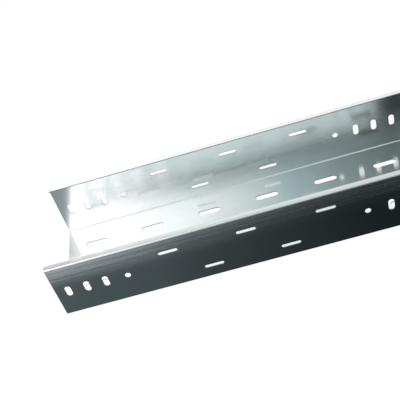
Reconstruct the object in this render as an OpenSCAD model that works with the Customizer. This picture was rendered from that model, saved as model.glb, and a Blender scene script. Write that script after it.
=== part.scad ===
// Perforated cable tray: one steel sheet folded into a U with inward lips.
// Both walls and the base are punched with slots and holes in a pattern that repeats along the tray.
// X runs along the tray, Y across it and Z up. The origin is under the middle of the base.

/* [Folded section] */
// Width across the outside of the two walls
tray_w = 200; // [150:10:600]
// Height from the underside of the base to the top of the lips
tray_h = 100; // [80:5:150]
// Width of each lip, from the outside of its wall to its free edge
lip_w = 9; // [7:0.5:30]
// Thickness of the sheet
sheet_t = 1.5; // [1:0.1:2]
// Inside radius of every bend
bend_r = 1.5; // [0.5:0.1:3]

/* [Length] */
// Length of one punching pattern
pattern_l = 600; // [400:20:1000]
// Number of patterns along the tray
patterns = 4; // [1:1:10]

/* [Splice holes in the walls] */
// Number of upright slots at each end of a pattern
splice_count = 3; // [1:1:3]
// Distance from the end of a pattern to its first upright slot
splice_margin = 20; // [15:1:30]
// Pitch of the upright slots
splice_pitch = 30; // [20:1:35]
// Width of an upright slot
splice_slot_w = 9; // [5:0.5:11]
// Height of an upright slot
splice_slot_h = 20; // [14:1:30]
// Distance from the last upright slot to the round hole
round_gap = 35; // [20:1:45]
// Diameter of the round hole
round_d = 9; // [5:0.5:14]

/* [Tie slots in the walls] */
// Distance from the first round hole to the first tie slot
tie_lead = 70; // [40:1:90]
// Least distance from the last tie slot to the second round hole
tie_tail = 60; // [40:1:80]
// Distance along the tray between tie slots, which stand high and low in turn
tie_pitch = 60; // [40:1:80]
// Length of a tie slot
tie_slot_l = 30; // [14:1:36]
// Width of a tie slot
tie_slot_w = 5.5; // [4:0.5:12]
// Drop of the high tie slots below the top of the lips
tie_high_drop = 27.5; // [20:0.5:32]
// Height of the low tie slots above the underside
tie_low_z = 22.5; // [15:0.5:30]

/* [Base slots] */
// Pitch of the slots along the base
base_pitch = 100; // [50:5:200]
// Number of rows of slots across the base
base_rows = 3; // [2:1:5]
// Distance of the first and last row of base slots from the outside of its wall
base_row_inset = 50; // [20:1:60]
// Length of a base slot
base_slot_l = 38; // [20:1:45]
// Width of a base slot
base_slot_w = 11; // [5:0.5:14]

/* [Hidden] */
$fn = 64;

bend_outer_r = bend_r + sheet_t;
tray_l = pattern_l * patterns;
cut_clear = 1;

// Places along one pattern, from its start
round_x = splice_margin + (splice_count - 1) * splice_pitch + round_gap;
tie_first_x = round_x + tie_lead;
tie_room = pattern_l - round_x - tie_tail - tie_first_x;
tie_count = floor(tie_room / tie_pitch) + 1;
base_count = floor(pattern_l / base_pitch);
base_first_x = (pattern_l - (base_count - 1) * base_pitch) / 2;

// Heights of the rows in the walls
tie_high_z = tray_h - tie_high_drop;
middle_z = (tie_high_z + tie_low_z) / 2;

// Places of the rows across the base
base_row_first_y = base_row_inset - tray_w / 2;
base_row_pitch = (tray_w - 2 * base_row_inset) / (base_rows - 1);

// Quarter ring of sheet in the first quadrant, about the bend's own centre
module bend() {
    intersection() {
        difference() {
            circle(r = bend_outer_r);
            circle(r = bend_r);
        }
        square(bend_outer_r);
    }
}

// Right half of the folded section, from the middle of the base to the lip's free edge
module half_section() {
    bend_y = tray_w / 2 - bend_outer_r;
    square([bend_y, sheet_t]);
    translate([bend_y, bend_outer_r]) rotate(-90) bend();
    translate([tray_w / 2 - sheet_t, bend_outer_r]) square([sheet_t, tray_h - 2 * bend_outer_r]);
    translate([bend_y, tray_h - bend_outer_r]) bend();
    translate([tray_w / 2 - lip_w, tray_h - sheet_t]) square([lip_w - bend_outer_r, sheet_t]);
}

// The folded sheet before punching
module folded_sheet() {
    rotate([90, 0, 90]) linear_extrude(tray_l, center = true) {
        half_section();
        mirror([1, 0]) half_section();
    }
}

// Outline of a slot with round ends, lying along the first axis
module slot(length, width) {
    straight = length - width;
    square([straight, width], center = true);
    for (end = [-1, 1]) translate([end * straight / 2, 0]) circle(d = width);
}

// Punches an outline through both walls at a place along the tray and a height
module through_walls(x, z) {
    translate([x, 0, z]) rotate([90, 0, 0])
        linear_extrude(tray_w + 2 * cut_clear, center = true) children();
}

// Punches an outline down through the base at a place along and across the tray
module through_base(x, y) {
    translate([x, y, -cut_clear]) linear_extrude(sheet_t + 2 * cut_clear) children();
}

// Upright slots and round hole at one end of a pattern: side is 1 at its start and -1 at its end
module splice_holes(end_x, side) {
    for (i = [0 : splice_count - 1])
        through_walls(end_x + side * (splice_margin + i * splice_pitch), middle_z)
            rotate(90) slot(splice_slot_h, splice_slot_w);
    through_walls(end_x + side * round_x, middle_z) circle(d = round_d);
}

// Tie slots of one pattern, high and low in turn
module tie_slots(start_x) {
    for (i = [0 : tie_count - 1])
        through_walls(start_x + tie_first_x + i * tie_pitch, i % 2 == 0 ? tie_high_z : tie_low_z)
            slot(tie_slot_l, tie_slot_w);
}

// Rows of base slots of one pattern
module base_slots(start_x) {
    for (i = [0 : base_count - 1], row = [0 : base_rows - 1])
        through_base(start_x + base_first_x + i * base_pitch, base_row_first_y + row * base_row_pitch)
            slot(base_slot_l, base_slot_w);
}

module tray() {
    color("lightsteelblue") difference() {
        folded_sheet();
        for (k = [0 : patterns - 1]) {
            start_x = k * pattern_l - tray_l / 2;
            splice_holes(start_x, 1);
            splice_holes(start_x + pattern_l, -1);
            tie_slots(start_x);
            base_slots(start_x);
        }
    }
}

tray();
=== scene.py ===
"""A perforated stainless steel cable tray on a pale studio floor.

The folded sheet is modelled here with smooth bends and fine punched edges.
It takes the place of the frame's tray.
X runs along the tray, Y across it and Z up, in metres.
"""

import math

import bmesh
import bpy
from mathutils import Matrix, Vector


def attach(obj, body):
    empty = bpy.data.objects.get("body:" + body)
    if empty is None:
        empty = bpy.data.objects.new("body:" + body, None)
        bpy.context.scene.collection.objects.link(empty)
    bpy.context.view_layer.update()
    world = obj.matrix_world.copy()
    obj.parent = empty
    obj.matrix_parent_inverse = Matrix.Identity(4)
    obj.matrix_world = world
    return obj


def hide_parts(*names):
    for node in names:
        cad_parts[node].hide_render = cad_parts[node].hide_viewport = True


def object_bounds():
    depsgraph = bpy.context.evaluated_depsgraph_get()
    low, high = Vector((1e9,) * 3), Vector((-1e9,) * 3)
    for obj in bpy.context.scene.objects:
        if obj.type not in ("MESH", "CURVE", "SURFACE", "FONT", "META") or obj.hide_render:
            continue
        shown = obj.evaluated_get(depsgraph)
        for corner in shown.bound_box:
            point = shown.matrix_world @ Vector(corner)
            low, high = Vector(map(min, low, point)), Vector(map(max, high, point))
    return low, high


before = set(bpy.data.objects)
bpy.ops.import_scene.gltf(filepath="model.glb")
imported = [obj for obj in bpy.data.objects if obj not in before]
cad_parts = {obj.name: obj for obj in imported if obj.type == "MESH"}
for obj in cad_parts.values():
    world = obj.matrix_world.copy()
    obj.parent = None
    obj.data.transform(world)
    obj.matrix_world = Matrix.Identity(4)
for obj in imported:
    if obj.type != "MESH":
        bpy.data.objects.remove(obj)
cad_low, cad_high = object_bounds()

MM = 0.001

# Sheet and folds
LENGTH, WIDTH, HEIGHT = cad_high - cad_low
START_X = cad_low.x
SHEET = 1.5 * MM
BEND_OUTER = 3 * MM
BEND_STEPS = 8
TRUE_ARC = 0.5
LIP = 9 * MM

# Holes, measured along one punching pattern from its start
PATTERN = 600 * MM
PATTERNS = round(LENGTH / PATTERN)
MIDDLE_Z = 47.5 * MM
SPLICE_SLOT = (20 * MM, 9 * MM)
SPLICE_FIRST = 20 * MM
SPLICE_PITCH = 30 * MM
SPLICE_COUNT = 3
ROUND_HOLE = 9 * MM
ROUND_X = 115 * MM
TIE_SLOT = (30 * MM, 5.5 * MM)
TIE_FIRST = 185 * MM
TIE_PITCH = 60 * MM
TIE_COUNT = 5
TIE_RISE = 25 * MM
BASE_SLOT = (38 * MM, 11 * MM)
BASE_PITCH = 100 * MM
BASE_FIRST = BASE_PITCH / 2
BASE_COUNT = 6
BASE_ROWS = (-50 * MM, 0, 50 * MM)

# Punches, which are longer than what they cut is deep
ROUND_STEPS = 32
WALL_PUNCH = WIDTH * 1.1
BASE_PUNCH = SHEET * 4

# Cut edges
EDGE_BREAK = 0.3 * MM
EDGE_STEPS = 2
SHARP = math.radians(50)

# Places of the cut edge and its rim in the sheet's list of materials, after the mill finish
EDGE_PLACE = 1
RIM_PLACE = 2

# Points this close to a plane are taken to lie on it
TOUCH = 0.01 * MM


def deselect_all():
    bpy.ops.object.select_all(action="DESELECT")


def make_active(thing):
    deselect_all()
    thing.select_set(True)
    bpy.context.view_layer.objects.active = thing


def select_points(thing, test):
    """In edit mode, selects the points that pass the test, and the edges and faces between them."""
    shape = bmesh.from_edit_mesh(thing.data)
    bpy.ops.mesh.select_mode(type="VERT")
    bpy.ops.mesh.select_all(action="DESELECT")
    for point in shape.verts:
        point.select_set(test(point.co))
    shape.select_flush(True)
    bmesh.update_edit_mesh(thing.data)


def apply_modifier(thing, name, kind, **settings):
    make_active(thing)
    modifier = thing.modifiers.new(name, kind)
    for key, value in settings.items():
        setattr(modifier, key, value)
    bpy.ops.object.modifier_apply(modifier=name)


# The folded sheet


def fold_sheet(finish, edge_finish_and_shade, rim_finish_and_shade):
    """Draws the outside of the base, and pulls a wall and its lip out of each long edge.

    The four folds are then rounded, and the sheet gets its thickness on the inside.
    """
    deselect_all()
    bpy.ops.mesh.primitive_plane_add(size=1)
    sheet = bpy.context.object
    sheet.name = "folded_tray"
    bpy.ops.object.mode_set(mode="EDIT")
    bpy.ops.transform.resize(value=(LENGTH, WIDTH, 1))
    for side in (-1, 1):
        select_points(sheet, lambda p: p.y * side > WIDTH / 2 - TOUCH and p.z < TOUCH)
        bpy.ops.mesh.extrude_region_move(TRANSFORM_OT_translate={"value": (0, 0, HEIGHT)})
        bpy.ops.mesh.extrude_region_move(TRANSFORM_OT_translate={"value": (0, -side * LIP, 0)})
    for side in (-1, 1):
        for level in (0, HEIGHT):
            select_points(sheet, lambda p: abs(p.y - side * WIDTH / 2) < TOUCH and abs(p.z - level) < TOUCH)
            bpy.ops.mesh.bevel(
                offset=BEND_OUTER, segments=BEND_STEPS, profile=TRUE_ARC, clamp_overlap=False,
            )
    bpy.ops.object.mode_set(mode="OBJECT")
    for material in (finish, edge_finish_and_shade, rim_finish_and_shade):
        sheet.data.materials.append(material)
    apply_modifier(
        sheet, "thickness", "SOLIDIFY", thickness=SHEET, offset=1, use_even_offset=True,
        material_offset_rim=EDGE_PLACE,
    )
    return sheet


def slot_punch(length, width, depth):
    """A round-ended bar along Z: a cylinder whose halves are drawn apart along X."""
    deselect_all()
    half_step = math.pi / ROUND_STEPS
    bpy.ops.mesh.primitive_cylinder_add(
        vertices=ROUND_STEPS, radius=width / 2 / math.cos(half_step), depth=depth,
    )
    punch = bpy.context.object
    bpy.ops.object.mode_set(mode="EDIT")
    bpy.ops.transform.rotate(value=half_step, orient_axis="Z", center_override=(0, 0, 0))
    for side in (-1, 1):
        select_points(punch, lambda p: p.x * side > 0)
        bpy.ops.transform.translate(value=(side * (length - width) / 2, 0, 0))
    bpy.ops.object.mode_set(mode="OBJECT")
    return punch


def copies_at(punch, places):
    """The punch moved to the first place, and a copy of it at each of the others."""
    made = [punch]
    for place in places[1:]:
        make_active(punch)
        bpy.ops.object.duplicate()
        copy = bpy.context.object
        copy.location = place
        made.append(copy)
    punch.location = places[0]
    return made


def wall_punches():
    """Bars across the tray that cut both walls at once, for one pattern."""
    upright = slot_punch(*SPLICE_SLOT, WALL_PUNCH)
    upright.rotation_euler = (math.pi / 2, math.pi / 2, 0)
    ends = [SPLICE_FIRST + i * SPLICE_PITCH for i in range(SPLICE_COUNT)]
    ends += [PATTERN - x for x in ends]
    made = copies_at(upright, [(START_X + x, 0, MIDDLE_Z) for x in ends])
    drill = slot_punch(ROUND_HOLE, ROUND_HOLE, WALL_PUNCH)
    drill.rotation_euler = (math.pi / 2, 0, 0)
    made += copies_at(drill, [(START_X + x, 0, MIDDLE_Z) for x in (ROUND_X, PATTERN - ROUND_X)])
    tie = slot_punch(*TIE_SLOT, WALL_PUNCH)
    tie.rotation_euler = (math.pi / 2, 0, 0)
    made += copies_at(tie, [
        (START_X + TIE_FIRST + i * TIE_PITCH, 0, MIDDLE_Z + TIE_RISE * (-1) ** i)
        for i in range(TIE_COUNT)
    ])
    return made


def base_punches():
    """Bars through the base, in three rows, for one pattern."""
    punch = slot_punch(*BASE_SLOT, BASE_PUNCH)
    return copies_at(punch, [
        (START_X + BASE_FIRST + i * BASE_PITCH, row_y, 0)
        for i in range(BASE_COUNT)
        for row_y in BASE_ROWS
    ])


def punch_sheet(sheet, edge_finish_and_shade):
    """Cuts the pattern, repeated along the tray, and breaks the edges as a deburring wheel does."""
    punches = wall_punches() + base_punches()
    deselect_all()
    for punch in punches:
        punch.select_set(True)
    bpy.context.view_layer.objects.active = punches[0]
    bpy.ops.object.transform_apply(location=True, rotation=True, scale=True)
    bpy.ops.object.join()
    tool = bpy.context.object
    tool.data.materials.append(edge_finish_and_shade)
    apply_modifier(
        tool, "repeat", "ARRAY", count=PATTERNS, use_relative_offset=False,
        use_constant_offset=True, constant_offset_displace=(PATTERN, 0, 0),
    )
    apply_modifier(
        sheet, "holes", "BOOLEAN", operation="DIFFERENCE", object=tool, solver="EXACT",
        material_mode="TRANSFER",
    )
    bpy.data.objects.remove(tool)
    apply_modifier(
        sheet, "broken edges", "BEVEL", width=EDGE_BREAK, segments=EDGE_STEPS, limit_method="ANGLE",
        angle_limit=SHARP, use_clamp_overlap=False, face_strength_mode="FSTR_ALL", material=RIM_PLACE,
    )
    make_active(sheet)
    bpy.ops.object.shade_smooth_by_angle(angle=SHARP)
    apply_modifier(
        sheet, "flat faces stay flat", "WEIGHTED_NORMAL", keep_sharp=True, use_face_influence=True,
    )


# Materials

# Rolling lines along the sheet, drawn coarser than real ones, which are too fine to show
LINE_LENGTH = 250 * MM
LINE_SPACING = 3 * MM
LINE_HEIGHT = 0.004 * MM
LINE_NOISE_LOW, LINE_NOISE_HIGH = 0.35, 0.65

# Slow waves that keep a rolled sheet from being quite flat, and smudges on it
WAVE_LENGTH = 90 * MM
WAVE_HEIGHT = 0.006 * MM
SMUDGE_SIZE = 25 * MM

# Roughness of the mill finish, and how far its lines draw reflections out across them
MILL_ROUGH_LOW, MILL_ROUGH_HIGH = 0.11, 0.135
DRAWN_OUT = 0.78

# Die marks left by the folding tool on the outside of the walls, under the top bend.
# Their streaks are drawn coarser than real ones, which are too fine to show.
DIE_MARK_LOW, DIE_MARK_HIGH = 48 * MM, 90 * MM
DIE_MARK_ROUGH = 0.22
STREAK_LENGTH = 600 * MM
STREAK_DEPTH = 10 * MM
STREAK_SPACING = 4 * MM
STREAK_NOISE_LOW, STREAK_NOISE_HIGH = 0.4, 0.62
STREAK_FAINT, STREAK_FULL = 0.58, 1.0

# The marks start and are full this far in from the outside of a wall, so the inside has none
SKIN_START, SKIN_FULL = 1.0 * MM, 0.6 * MM

# Torn marks on a cut, drawn coarser than real ones, and patches where its rim is ground more or less
TEAR_SIZE = 1.5 * MM
EDGE_ROUGH_LOW, EDGE_ROUGH_HIGH = 0.35, 0.6
GROUND_PATCH = 4 * MM
RIM_ROUGH_LOW, RIM_ROUGH_HIGH = 0.4, 0.6

# Sockets of a Mix node that mixes colours
SHARE, FIRST, SECOND = 0, 6, 7
MIXED = 2


def linear(hex_colour):
    """A linear colour from an sRGB hex value."""
    channels = [int(hex_colour[i:i + 2], 16) / 255 for i in (1, 3, 5)]
    return (*[c / 12.92 if c <= 0.04045 else ((c + 0.055) / 1.055) ** 2.4 for c in channels], 1)


def add(tree, kind, inputs=None, **settings):
    """Adds a node, with its settings, and its inputs set or linked."""
    made = tree.nodes.new(kind)
    for key, value in settings.items():
        setattr(made, key, value)
    for key, value in (inputs or {}).items():
        if isinstance(value, bpy.types.NodeSocket):
            tree.links.new(value, made.inputs[key])
        else:
            made.inputs[key].default_value = value
    return made


def new_material(name):
    material = bpy.data.materials.new(name)
    material.use_nodes = True
    material.node_tree.nodes.clear()
    return material, material.node_tree


def cold_rolled_stainless():
    """Cold-rolled stainless sheet, mill finish: nearly a mirror, a little hazy, with faint rolling lines.

    Reflections are drawn out across the lines, so they run up the walls as soft bars.
    The folding tool has rubbed the outside of the walls, under the top bend, to a paler,
    duller band of long streaks.
    """
    material, tree = new_material("cold_rolled_stainless")
    place = add(tree, "ShaderNodeTexCoord").outputs["Object"]
    rolled = add(tree, "ShaderNodeMapping", {
        "Vector": place, "Scale": (1 / LINE_LENGTH, 1 / LINE_SPACING, 1 / LINE_SPACING),
    })
    lines = add(tree, "ShaderNodeTexNoise", {"Vector": rolled.outputs[0], "Scale": 1.0, "Detail": 4.0})
    clouds = add(tree, "ShaderNodeTexNoise", {"Vector": place, "Scale": 1 / WAVE_LENGTH, "Detail": 1.0})
    haze = add(tree, "ShaderNodeMapRange", {
        "Value": lines.outputs["Fac"], "From Min": LINE_NOISE_LOW, "From Max": LINE_NOISE_HIGH,
        "To Min": MILL_ROUGH_LOW, "To Max": MILL_ROUGH_HIGH,
    })

    # The rubbed band, on the outside of both walls
    parts = add(tree, "ShaderNodeSeparateXYZ", {0: place})
    out = add(tree, "ShaderNodeMath", {0: parts.outputs["Y"]}, operation="ABSOLUTE")
    outside = add(tree, "ShaderNodeMapRange", {
        "Value": out.outputs[0], "From Min": WIDTH / 2 - SKIN_START, "From Max": WIDTH / 2 - SKIN_FULL,
    })
    climb = add(tree, "ShaderNodeMapRange", {
        "Value": parts.outputs["Z"], "From Min": DIE_MARK_LOW, "From Max": DIE_MARK_HIGH,
    }, interpolation_type="SMOOTHSTEP")
    drawn = add(tree, "ShaderNodeMapping", {
        "Vector": place, "Scale": (1 / STREAK_LENGTH, 1 / STREAK_DEPTH, 1 / STREAK_SPACING),
    })
    streaks = add(tree, "ShaderNodeTexNoise", {"Vector": drawn.outputs[0], "Scale": 1.0, "Detail": 2.0})
    clear = add(tree, "ShaderNodeMapRange", {
        "Value": streaks.outputs["Fac"], "From Min": STREAK_NOISE_LOW, "From Max": STREAK_NOISE_HIGH,
        "To Min": STREAK_FAINT, "To Max": STREAK_FULL,
    })
    band = add(tree, "ShaderNodeMath", {0: outside.outputs[0], 1: climb.outputs[0]}, operation="MULTIPLY")
    rubbed = add(tree, "ShaderNodeMath", {0: band.outputs[0], 1: clear.outputs[0]}, operation="MULTIPLY")
    rough = add(tree, "ShaderNodeMath", {
        0: rubbed.outputs[0], 1: DIE_MARK_ROUGH, 2: haze.outputs[0],
    }, operation="MULTIPLY_ADD")

    smudges = add(tree, "ShaderNodeTexNoise", {"Vector": place, "Scale": 1 / SMUDGE_SIZE, "Detail": 3.0})
    tone = add(tree, "ShaderNodeMix", {
        SHARE: smudges.outputs["Fac"], FIRST: linear("#e2e7e7"), SECOND: linear("#e8ecec"),
    }, data_type="RGBA")
    worn = add(tree, "ShaderNodeMix", {
        SHARE: rubbed.outputs[0], FIRST: tone.outputs[MIXED], SECOND: linear("#cbd8dc"),
    }, data_type="RGBA")
    waves = add(tree, "ShaderNodeBump", {"Height": clouds.outputs["Fac"], "Distance": WAVE_HEIGHT})
    grain = add(tree, "ShaderNodeBump", {
        "Height": lines.outputs["Fac"], "Distance": LINE_HEIGHT, "Normal": waves.outputs[0],
    })
    round_x = add(tree, "ShaderNodeTangent", direction_type="RADIAL", axis="X")
    shader = add(tree, "ShaderNodeBsdfPrincipled", {
        "Base Color": worn.outputs[MIXED], "Metallic": 1.0, "Roughness": rough.outputs[0],
        "Normal": grain.outputs[0], "Anisotropic": DRAWN_OUT, "Tangent": round_x.outputs[0],
    })
    add(tree, "ShaderNodeOutputMaterial", {"Surface": shader.outputs[0]})
    return material


def sheared_and_shaded_edge():
    """The punched and sheared edges of the sheet: torn and dull, with a darkened base colour that is
    painted shade, so they read as a thin darker line.
    """
    material, tree = new_material("sheared_stainless_edge_painted_shade")
    place = add(tree, "ShaderNodeTexCoord").outputs["Object"]
    torn = add(tree, "ShaderNodeTexNoise", {"Vector": place, "Scale": 1 / TEAR_SIZE, "Detail": 2.0})
    rough = add(tree, "ShaderNodeMapRange", {
        "Value": torn.outputs["Fac"], "To Min": EDGE_ROUGH_LOW, "To Max": EDGE_ROUGH_HIGH,
    })
    # Darker than the sheet: partly the dull torn steel, partly painted shade along the cut
    tone = add(tree, "ShaderNodeMix", {
        SHARE: torn.outputs["Fac"], FIRST: linear("#92989a"), SECOND: linear("#b2b8ba"),
    }, data_type="RGBA")
    shader = add(tree, "ShaderNodeBsdfPrincipled", {
        "Base Color": tone.outputs[MIXED], "Metallic": 1.0, "Roughness": rough.outputs[0],
    })
    add(tree, "ShaderNodeOutputMaterial", {"Surface": shader.outputs[0]})
    return material


def dulled_and_shaded_rim():
    """The rim of every cut, dulled by the deburring wheel and darkened in base colour as painted shade, so
    it reads as a fine, dull grey line.
    """
    material, tree = new_material("deburred_stainless_rim_painted_shade")
    place = add(tree, "ShaderNodeTexCoord").outputs["Object"]
    ground = add(tree, "ShaderNodeTexNoise", {"Vector": place, "Scale": 1 / GROUND_PATCH, "Detail": 2.0})
    rough = add(tree, "ShaderNodeMapRange", {
        "Value": ground.outputs["Fac"], "To Min": RIM_ROUGH_LOW, "To Max": RIM_ROUGH_HIGH,
    })
    # Darker than the sheet: partly the dull ground steel, partly painted shade along the cut
    tone = add(tree, "ShaderNodeMix", {
        SHARE: ground.outputs["Fac"], FIRST: linear("#7c8285"), SECOND: linear("#9da3a5"),
    }, data_type="RGBA")
    shader = add(tree, "ShaderNodeBsdfPrincipled", {
        "Base Color": tone.outputs[MIXED], "Metallic": 1.0, "Roughness": rough.outputs[0],
    })
    add(tree, "ShaderNodeOutputMaterial", {"Surface": shader.outputs[0]})
    return material


# Stage, light and camera

# The floor lies a hair under the tray and glows a little less than white
FLOOR_SIZE = 40
FLOOR_DROP = 0.2 * MM
FLOOR_GLOW = 0.985

# Tints of the cards
PINK, WARM, WHITE, COOL, COOLER = "#ffeff2", "#fff7f7", "#ffffff", "#f5ffff", "#e8fdff"
DARK, GREY = "#def8ff", "#e8f8ff"

# Panels stand in front of the tray and behind it, from before its start to past its end
FRONT_Y, BACK_Y = -0.3, 0.3
PANEL_X = (-1.8, 4.2)

# Strip lights stand in one row before the back panel: the middle of each along the tray, and its glow
STRIP_ROW_Z = (0.332, 0.388)
STRIP_LEAD = 1 * MM
STRIP_HALF = 0.021
STRIP_EDGE_GLOW = 0.8
STRIPS = ((-0.071, 7.8), (-0.02, 5.0), (0.041, 3.9), (0.103, 2.8))

# Depths under the tray of the table and, over it, of its brighter parts: glowing cards with the table's
# light and shade painted in
TABLE_DEPTH = 0.5 * MM
UNDER_DEPTH = 0.4 * MM
BESIDE_DEPTH = 0.3 * MM

# The room: its glow low down and at the ceiling, and the heights on the sky between which it brightens
ROOM_GLOW, CEILING_GLOW = 0.2, 0.68
ROOM_TOP, CEILING = 0.55, 0.95

# The camera, fitted to the photo
CAMERA_PLACE = Vector((-865.2, -921.9, 812.4)) * MM
CAMERA_AIM = Vector((-975.5, -55.6, 50)) * MM
CAMERA_ROLL = math.radians(-19.98)
SENSOR = 36
LENS = 67.67
SHIFT = (0.015, 0.09)


def card(name, size, centre, turn=(0, 0, 0)):
    """A flat stage card whose object coordinates are the scene's own."""
    deselect_all()
    bpy.ops.mesh.primitive_plane_add(size=1, location=centre, rotation=turn)
    made = bpy.context.object
    made.name = name
    made.scale = (*size, 1)
    bpy.ops.object.transform_apply(location=True, rotation=True, scale=True)
    material, tree = new_material(name)
    made.data.materials.append(material)
    return made, tree


def pale_floor():
    """A glowing white cloth with a faint shadow, which the steel doesn't mirror."""
    floor, tree = card("pale_floor", (FLOOR_SIZE, FLOOR_SIZE), (0, 0, -FLOOR_DROP))
    glow = add(tree, "ShaderNodeEmission", {"Color": linear("#ffffff"), "Strength": FLOOR_GLOW})
    cloth = add(tree, "ShaderNodeBsdfDiffuse", {"Color": linear("#454545")})
    both = add(tree, "ShaderNodeAddShader", {0: glow.outputs[0], 1: cloth.outputs[0]})
    add(tree, "ShaderNodeOutputMaterial", {"Surface": both.outputs[0]})
    floor.visible_glossy = False


def mirrored_card(name, size, centre, turn, stops):
    """A card that only reflections see.

    Each stop is a distance along the tray from its start in metres, a glow and a tint.
    """
    made, tree = card(name, size, centre, turn)
    place = add(tree, "ShaderNodeTexCoord").outputs["Object"]
    along = add(tree, "ShaderNodeSeparateXYZ", {0: place}).outputs["X"]
    first, last = stops[0][0], stops[-1][0]
    share = add(tree, "ShaderNodeMapRange", {
        "Value": along, "From Min": START_X + first, "From Max": START_X + last,
    }).outputs[0]
    shade = add(tree, "ShaderNodeValToRGB", {"Fac": share})
    points = shade.color_ramp.elements
    while len(points) < len(stops):
        points.new(0.5)
    for point, (at, glow, tint) in zip(points, stops):
        point.position = (at - first) / (last - first)
        point.color = [glow * channel for channel in linear(tint)]
    lit = add(tree, "ShaderNodeEmission", {"Color": shade.outputs["Color"]})
    add(tree, "ShaderNodeOutputMaterial", {"Surface": lit.outputs[0]})
    made.visible_camera = False
    made.visible_diffuse = False
    made.visible_shadow = False


def wall_card(name, y, z_span, x_span, stops):
    """An upright card along the tray."""
    size = (x_span[1] - x_span[0], z_span[1] - z_span[0])
    centre = (START_X + sum(x_span) / 2, y, sum(z_span) / 2)
    mirrored_card(name, size, centre, (math.pi / 2, 0, 0), stops)


def table_card(name, depth, x_span, y_span, stops):
    """A level card a hair under the tray."""
    size = (x_span[1] - x_span[0], y_span[1] - y_span[0])
    centre = (START_X + sum(x_span) / 2, sum(y_span) / 2, -depth)
    mirrored_card(name, size, centre, (0, 0, 0), stops)


def front_cards():
    """The front panel in bands, down to a kick board. Below its top it is brightest at the tray's start."""
    wall_card("front_panel_top", FRONT_Y, (0.51, 1.2), PANEL_X, [
        (-0.1, 0.75, WHITE), (0.3, 0.9, COOL), (0.5, 1.4, COOL), (0.9, 1.6, COOL), (1.7, 1.0, WHITE),
    ])
    wall_card("front_panel", FRONT_Y, (0.35, 0.51), PANEL_X, [
        (-0.3, 0.5, WHITE), (-0.2, 1.85, WARM), (0.05, 1.7, WARM), (0.16, 1.45, WHITE),
        (0.25, 1.1, WHITE), (0.34, 0.87, COOL), (0.42, 0.61, COOLER), (0.55, 0.34, COOLER),
        (0.66, 0.19, COOLER), (0.9, 0.22, COOLER), (1.7, 0.75, COOL),
    ])
    wall_card("front_panel_foot", FRONT_Y, (0.31, 0.35), PANEL_X, [
        (-0.3, 0.5, WHITE), (-0.2, 2.2, WARM), (0.05, 2.1, WARM), (0.16, 1.95, WHITE),
        (0.25, 1.7, WHITE), (0.34, 1.28, COOL), (0.42, 0.82, COOLER), (0.55, 0.39, COOLER),
        (0.66, 0.2, COOLER), (0.9, 0.22, COOLER), (1.7, 0.75, COOL),
    ])
    wall_card("front_panel_low", FRONT_Y, (0.24, 0.31), PANEL_X, [
        (-0.3, 0.5, WHITE), (-0.2, 2.4, WARM), (0, 1.8, WARM), (0.1, 0.95, WHITE),
        (0.17, 0.47, COOLER), (0.26, 0.22, COOLER), (0.36, 0.22, COOLER), (0.56, 0.19, COOLER),
        (0.66, 0.12, COOLER), (0.9, 0.2, COOLER), (1.7, 0.6, COOL),
    ])
    wall_card("front_panel_skirt", FRONT_Y, (0.12, 0.24), PANEL_X, [
        (-0.3, 0.5, WHITE), (-0.2, 2.2, WARM), (0, 1.8, WARM), (0.1, 1.1, WHITE), (0.2, 0.9, COOL),
        (0.63, 0.75, COOL), (0.655, 0.1, COOL), (0.8, 0.1, COOL), (0.9, 0.4, COOL), (1.7, 0.6, COOL),
    ])
    wall_card("front_kick", FRONT_Y, (0, 0.12), PANEL_X, [
        (-0.3, 0.5, WHITE), (-0.08, 1.05, WHITE), (0.1, 1.3, WHITE), (0.19, 0.75, COOL),
        (0.34, 0.27, COOL), (0.42, 0.09, COOL), (0.55, 0.04, COOL), (1.2, 0.1, COOL), (1.7, 0.3, COOL),
    ])


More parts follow.
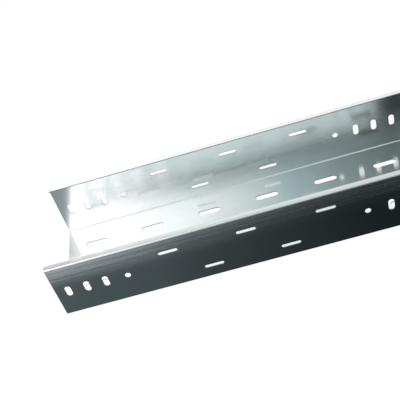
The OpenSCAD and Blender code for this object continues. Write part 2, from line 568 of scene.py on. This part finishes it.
def back_cards():
    """The back panel in bands, with a dark gap part of the way along, and the strip lights before it."""
    gap_and_end = [(0.69, 0.05, WHITE), (0.8, 0.05, WHITE), (0.83, 0.75, WHITE), (4.2, 0.9, WHITE)]
    wall_card("back_panel_top", BACK_Y, (0.388, 0.9), PANEL_X, [
        (-0.154, 0.6, WHITE), (-0.016, 0.84, WHITE), (0.25, 0.93, WHITE), (0.42, 0.87, WHITE),
        (0.68, 0.8, WHITE), *gap_and_end,
    ])
    wall_card("back_panel", BACK_Y, STRIP_ROW_Z, PANEL_X, [
        (-0.3, 0.6, WHITE), (-0.18, 4.5, WARM), (-0.09, 2.6, WARM), (-0.045, 0.5, WARM),
        (0.01, 2.2, WARM), (0.06, 0.5, WHITE), (0.12, 0.7, WHITE), (0.15, 1.3, COOL),
        (0.3, 1.2, COOLER), (0.52, 0.92, COOLER), (0.635, 0.86, COOLER), (0.69, 0.03, COOLER),
        (0.8, 0.03, COOLER), (0.83, 0.75, COOL), (4.2, 0.9, WHITE),
    ])
    for at, glow in STRIPS:
        left, right = at - STRIP_HALF, at + STRIP_HALF
        wall_card("strip_light", BACK_Y - STRIP_LEAD, STRIP_ROW_Z, (left, right), [
            (left, STRIP_EDGE_GLOW, PINK), (at, glow, PINK), (right, STRIP_EDGE_GLOW, PINK),
        ])
    wall_card("back_panel_middle", BACK_Y, (0.255, 0.332), PANEL_X, [
        (-0.15, 2.2, WHITE), (-0.04, 2.0, WHITE), (0.06, 1.9, WHITE), (0.145, 1.7, WHITE),
        (0.294, 1.6, WHITE), (0.46, 1.5, WHITE), (0.678, 1.4, WHITE), (0.688, 0, WHITE),
        (0.8, 0, WHITE), (0.83, 0.75, WHITE), (4.2, 0.9, WHITE),
    ])
    wall_card("back_panel_foot", BACK_Y, (0.23, 0.255), PANEL_X, [
        (-0.15, 0.6, WHITE), (-0.02, 0.8, WHITE), (0.19, 1.05, WHITE), (0.4, 1.05, WHITE),
        (0.68, 0.98, WHITE), *gap_and_end,
    ])
    wall_card("back_panel_low", BACK_Y, (0.06, 0.23), PANEL_X, [
        (-0.15, 0.62, WHITE), (-0.07, 0.62, WHITE), (-0.055, 1.8, WHITE), (0.03, 1.8, WHITE),
        (0.09, 1.5, WHITE), (0.19, 1.1, WHITE), (0.4, 1.0, WHITE), (0.68, 0.9, WHITE), *gap_and_end,
    ])


def table_cards():
    """A dark table that only reflections see, with painted light: it glows dim, and brighter in front of
    the tray, before its start and under it.
    """
    table_card("table", TABLE_DEPTH, (-3.5, 6), (-3, 3), [
        (-0.1, 0.13, DARK), (0.06, 0.1, DARK), (0.16, 0.086, DARK), (0.215, 0.063, DARK),
        (0.335, 0.04, DARK), (0.5, 0.018, DARK), (0.8, 0.02, DARK), (1.7, 0.09, DARK),
    ])
    table_card("table_front", BESIDE_DEPTH, (-0.5, 0.15), (-0.6, -0.23), [
        (-0.3, 0.6, WHITE), (-0.08, 0.7, WHITE), (0.03, 0.3, COOL), (0.15, 0.09, COOL),
    ])
    table_card("table_left", BESIDE_DEPTH, (-0.4, 0), (-0.1, 0.1), [
        (-0.4, 0.33, GREY), (-0.05, 0.33, GREY), (-0.016, 0.4, GREY), (-0.009, 0.52, GREY),
        (-0.004, 0.8, WHITE), (0, 1.2, WHITE),
    ])
    table_card("table_under_middle", UNDER_DEPTH, (0, LENGTH), (-0.09, 0.025), [
        (0, 1.2, COOL), (0.15, 1.0, COOL), (0.25, 0.78, COOL), (0.35, 0.64, COOLER), (0.45, 0.38, COOLER),
        (0.55, 0.1, COOLER), (0.65, 0.05, COOLER), (0.8, 0.4, COOL), (1.7, 0.5, COOL),
    ])
    table_card("table_under_far", UNDER_DEPTH, (0, LENGTH), (0.025, 0.09), [
        (0, 1.2, COOL), (0.15, 0.9, COOL), (0.25, 0.6, COOL), (0.35, 0.38, COOLER), (0.45, 0.26, COOLER),
        (0.55, 0.04, COOLER), (0.65, 0.04, COOLER), (0.8, 0.4, COOL), (1.7, 0.5, COOL),
    ])


def studio_world():
    """The room behind the panels, dim low down and lit from the ceiling. The camera sees plain white."""
    world = bpy.data.worlds.new("studio_world")
    bpy.context.scene.world = world
    world.use_nodes = True
    tree = world.node_tree
    tree.nodes.clear()
    way = add(tree, "ShaderNodeTexCoord").outputs["Generated"]
    climb = add(tree, "ShaderNodeSeparateXYZ", {0: way}).outputs["Z"]
    ceiling = add(tree, "ShaderNodeMapRange", {
        "Value": climb, "From Min": ROOM_TOP, "From Max": CEILING,
        "To Min": ROOM_GLOW, "To Max": CEILING_GLOW,
    }, interpolation_type="SMOOTHSTEP")
    room = add(tree, "ShaderNodeBackground", {"Color": linear("#ffffff"), "Strength": ceiling.outputs[0]})
    plain = add(tree, "ShaderNodeBackground", {"Color": linear("#ffffff"), "Strength": 1.0})
    seen = add(tree, "ShaderNodeLightPath").outputs["Is Camera Ray"]
    mixed = add(tree, "ShaderNodeMixShader", {0: seen, 1: room.outputs[0], 2: plain.outputs[0]})
    add(tree, "ShaderNodeOutputWorld", {"Surface": mixed.outputs[0]})


def photo_camera():
    data = bpy.data.cameras.new("photo_camera")
    data.sensor_width = SENSOR
    data.lens = LENS
    data.shift_x, data.shift_y = SHIFT
    camera = bpy.data.objects.new("photo_camera", data)
    bpy.context.collection.objects.link(camera)
    camera.location = CAMERA_PLACE
    level = (CAMERA_AIM - CAMERA_PLACE).to_track_quat("-Z", "Y").to_matrix()
    camera.rotation_euler = (level @ Matrix.Rotation(CAMERA_ROLL, 3, "Z")).to_euler()
    bpy.context.scene.camera = camera


sheared = sheared_and_shaded_edge()
tray = fold_sheet(cold_rolled_stainless(), sheared, dulled_and_shaded_rim())
punch_sheet(tray, sheared)
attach(tray, "root")
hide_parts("tray")

pale_floor()
front_cards()
back_cards()
table_cards()
studio_world()
photo_camera()
bpy.context.scene.view_settings.view_transform = "Standard"
